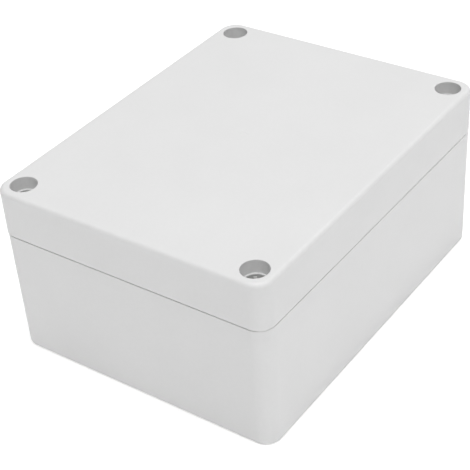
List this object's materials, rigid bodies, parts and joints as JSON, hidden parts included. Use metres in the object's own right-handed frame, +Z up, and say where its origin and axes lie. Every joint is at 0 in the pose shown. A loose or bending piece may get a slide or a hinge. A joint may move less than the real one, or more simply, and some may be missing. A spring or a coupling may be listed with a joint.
{
  "type": "plastic project box",
  "caption": "Light grey moulded project box: drafted base, deep lid closed by recessed corner screws, seal round a cross-shaped cavity with board pillars.",
  "frame": {"origin": "middle of the underside, where the box stands", "axes": "+X along the long side, +Y across towards the back, +Z up through the lid"},
  "size_m": [0.1156, 0.09, 0.0546],
  "materials": {
    "base_plastic": "light grey moulded ABS, fine satin texture",
    "lid_plastic": "light grey moulded ABS, fine satin texture",
    "seal_rubber": "soft matt black neoprene strip",
    "screw_steel": "bright stainless steel",
    "ring_nylon": "natural white nylon",
    "insert_brass": "turned and knurled brass"
  },
  "bodies": {
    "base": {"base": "base_plastic", "insert_front_left": "insert_brass", "insert_front_right": "insert_brass", "insert_back_right": "insert_brass", "insert_back_left": "insert_brass"},
    "lid": {"lid": "lid_plastic", "lid_gasket": "seal_rubber"},
    "ring_front_left": {"captive_ring_front_left": "ring_nylon"},
    "screw_front_left": {"lid_screw_front_left": "screw_steel"},
    "ring_front_right": {"captive_ring_front_right": "ring_nylon"},
    "screw_front_right": {"lid_screw_front_right": "screw_steel"},
    "ring_back_right": {"captive_ring_back_right": "ring_nylon"},
    "screw_back_right": {"lid_screw_back_right": "screw_steel"},
    "ring_back_left": {"captive_ring_back_left": "ring_nylon"},
    "screw_back_left": {"lid_screw_back_left": "screw_steel"}
  },
  "joints": [
    {"name": "lid_lift", "type": "slide", "parent": "base", "child": "lid", "axis": [0, 0, 1], "range_m": [0, 0.06]},
    {"name": "screw_rise_front_left", "type": "slide", "parent": "lid", "child": "ring_front_left", "axis": [0, 0, 1], "range_m": [0, 0.00525]},
    {"name": "screw_turn_front_left", "type": "hinge", "parent": "ring_front_left", "child": "screw_front_left", "pos_m": [-0.0514, -0.03865, 0.0484], "axis": [0, 0, 1], "range_deg": [0, 2700]},
    {"name": "screw_rise_front_right", "type": "slide", "parent": "lid", "child": "ring_front_right", "axis": [0, 0, 1], "range_m": [0, 0.00525]},
    {"name": "screw_turn_front_right", "type": "hinge", "parent": "ring_front_right", "child": "screw_front_right", "pos_m": [0.0514, -0.03865, 0.0484], "axis": [0, 0, 1], "range_deg": [0, 2700]},
    {"name": "screw_rise_back_right", "type": "slide", "parent": "lid", "child": "ring_back_right", "axis": [0, 0, 1], "range_m": [0, 0.00525]},
    {"name": "screw_turn_back_right", "type": "hinge", "parent": "ring_back_right", "child": "screw_back_right", "pos_m": [0.0514, 0.03865, 0.0484], "axis": [0, 0, 1], "range_deg": [0, 2700]},
    {"name": "screw_rise_back_left", "type": "slide", "parent": "lid", "child": "ring_back_left", "axis": [0, 0, 1], "range_m": [0, 0.00525]},
    {"name": "screw_turn_back_left", "type": "hinge", "parent": "ring_back_left", "child": "screw_back_left", "pos_m": [-0.0514, 0.03865, 0.0484], "axis": [0, 0, 1], "range_deg": [0, 2700]}
  ],
  "couplings": [
    {"joint": "screw_turn_front_left", "follows": "screw_rise_front_left", "rad_per_m": 8976},
    {"joint": "screw_turn_front_right", "follows": "screw_rise_front_right", "rad_per_m": 8976},
    {"joint": "screw_turn_back_right", "follows": "screw_rise_back_right", "rad_per_m": 8976},
    {"joint": "screw_turn_back_left", "follows": "screw_rise_back_left", "rad_per_m": 8976}
  ]
}
